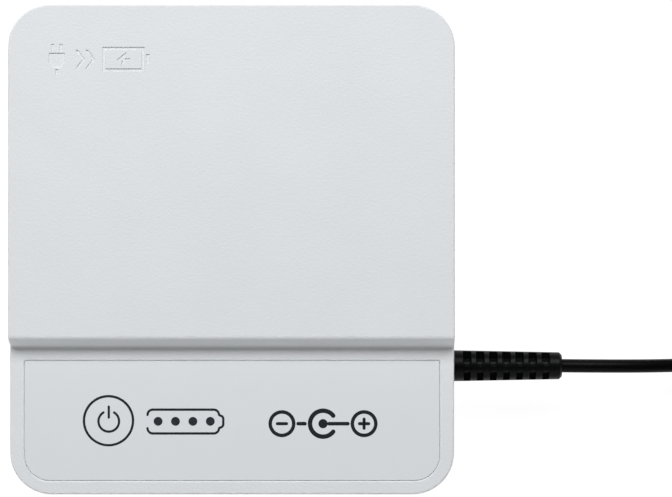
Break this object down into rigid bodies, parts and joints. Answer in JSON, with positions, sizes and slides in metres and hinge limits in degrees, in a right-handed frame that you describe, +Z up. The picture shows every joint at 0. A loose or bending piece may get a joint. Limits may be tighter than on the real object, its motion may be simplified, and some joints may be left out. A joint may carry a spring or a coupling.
{
  "type": "uninterruptible power supply",
  "caption": "Flat low-voltage uninterruptible power supply: stepped square case, inset control strip with push button, slotted strain relief, captive output lead with barrel plug.",
  "frame": {"origin": "under the middle of the case, at the bottom of the feet", "axes": "+Z up through the deck, +Y towards the plain rear edge, -Y towards the control strip, +X towards the output lead"},
  "size_m": [0.212, 0.1232, 0.028],
  "materials": {
    "case_white": "fine moulded grain, satin",
    "panel_white": "smooth satin with dark printed symbols",
    "button_white": "smooth satin with a dark printed ring",
    "smoked_lens": "clear smoked resin, polished ends",
    "relief_black": "moulded, satin",
    "lead_black": "extruded, satin",
    "plug_black": "moulded, satin",
    "tie_fabric": "woven hook-and-loop tape",
    "foot_rubber": "matte",
    "screw_steel": "zinc plated",
    "label_film": "matte film, blank",
    "connector_black": "moulded, slight gloss",
    "connector_white": "natural nylon",
    "nickel": "nickel plated",
    "contact_brass": "turned",
    "board_laminate": "solder mask over traces",
    "chip_resin": "moulded epoxy",
    "lamp_resin": "clear lens over a pale base",
    "spring_steel": "pressed",
    "ferrite": "sintered, matte",
    "copper": "enamelled winding",
    "can_aluminium": "satin",
    "fuse_ceramic": "fired, satin",
    "cell_sleeve": "printed shrink sleeve over a can, blank",
    "cradle_plastic": "moulded",
    "foam_grey": "open-cell foam",
    "barrier_film": "pressed insulating sheet",
    "wire_red": "extruded",
    "wire_black": "extruded"
  },
  "bodies": {
    "case": {"barrier_sheet": "barrier_film", "battery_cell_front": "cell_sleeve", "battery_cell_middle": "cell_sleeve", "battery_cell_rear": "cell_sleeve", "battery_cradle": "cradle_plastic", "battery_header": "connector_white", "battery_lead_black": "wire_black", "battery_lead_red": "wire_red", "battery_plug": "connector_white", "board_screws": "screw_steel", "boost_chip": "chip_resin", "bottom_cover": "case_white", "bulk_capacitors": "can_aluminium", "case_screws": "screw_steel", "cell_caps": "nickel", "charger_chip": "chip_resin", "chip_capacitors": "fuse_ceramic", "chip_legs": "nickel", "chip_resistors": "chip_resin", "cord_tie": "tie_fabric", "dc_jack_contacts": "nickel", "dc_jack_housing": "connector_black", "dc_jack_pin": "nickel", "diodes": "chip_resin", "foam_pad": "foam_grey", "front_panel": "panel_white", "fuse": "fuse_ceramic", "heat_sink": "can_aluminium", "indicator_board": "board_laminate", "indicator_leds": "lamp_resin", "indicator_screws": "screw_steel", "inductor_core": "ferrite", "inductor_winding": "copper", "light_guide": "smoked_lens", "link_header": "connector_black", "main_board": "board_laminate", "nickel_strips": "nickel", "output_lead": "lead_black", "output_lead_coil": "lead_black", "output_lead_tail": "lead_black", "output_wire_black": "wire_black", "output_wire_red": "wire_red", "plug_barrel": "nickel", "plug_contact": "contact_brass", "plug_grip": "plug_black", "plug_insulator": "connector_black", "power_transistors": "chip_resin", "protection_board": "board_laminate", "protection_chips": "chip_resin", "rating_label": "label_film", "rubber_feet": "foot_rubber", "strain_relief": "relief_black", "switch_body": "connector_black", "switch_dome": "spring_steel", "switch_legs": "nickel", "top_cover": "case_white"},
    "button": {"power_button": "button_white", "switch_plunger": "connector_black"}
  },
  "joints": [
    {"name": "button_press", "type": "slide", "parent": "case", "child": "button", "axis": [0, 0, -1], "range_m": [0, 0.0005], "stiffness_N_per_m": 1500, "springref_m": -0.0005, "deforming": ["switch_dome"]}
  ]
}
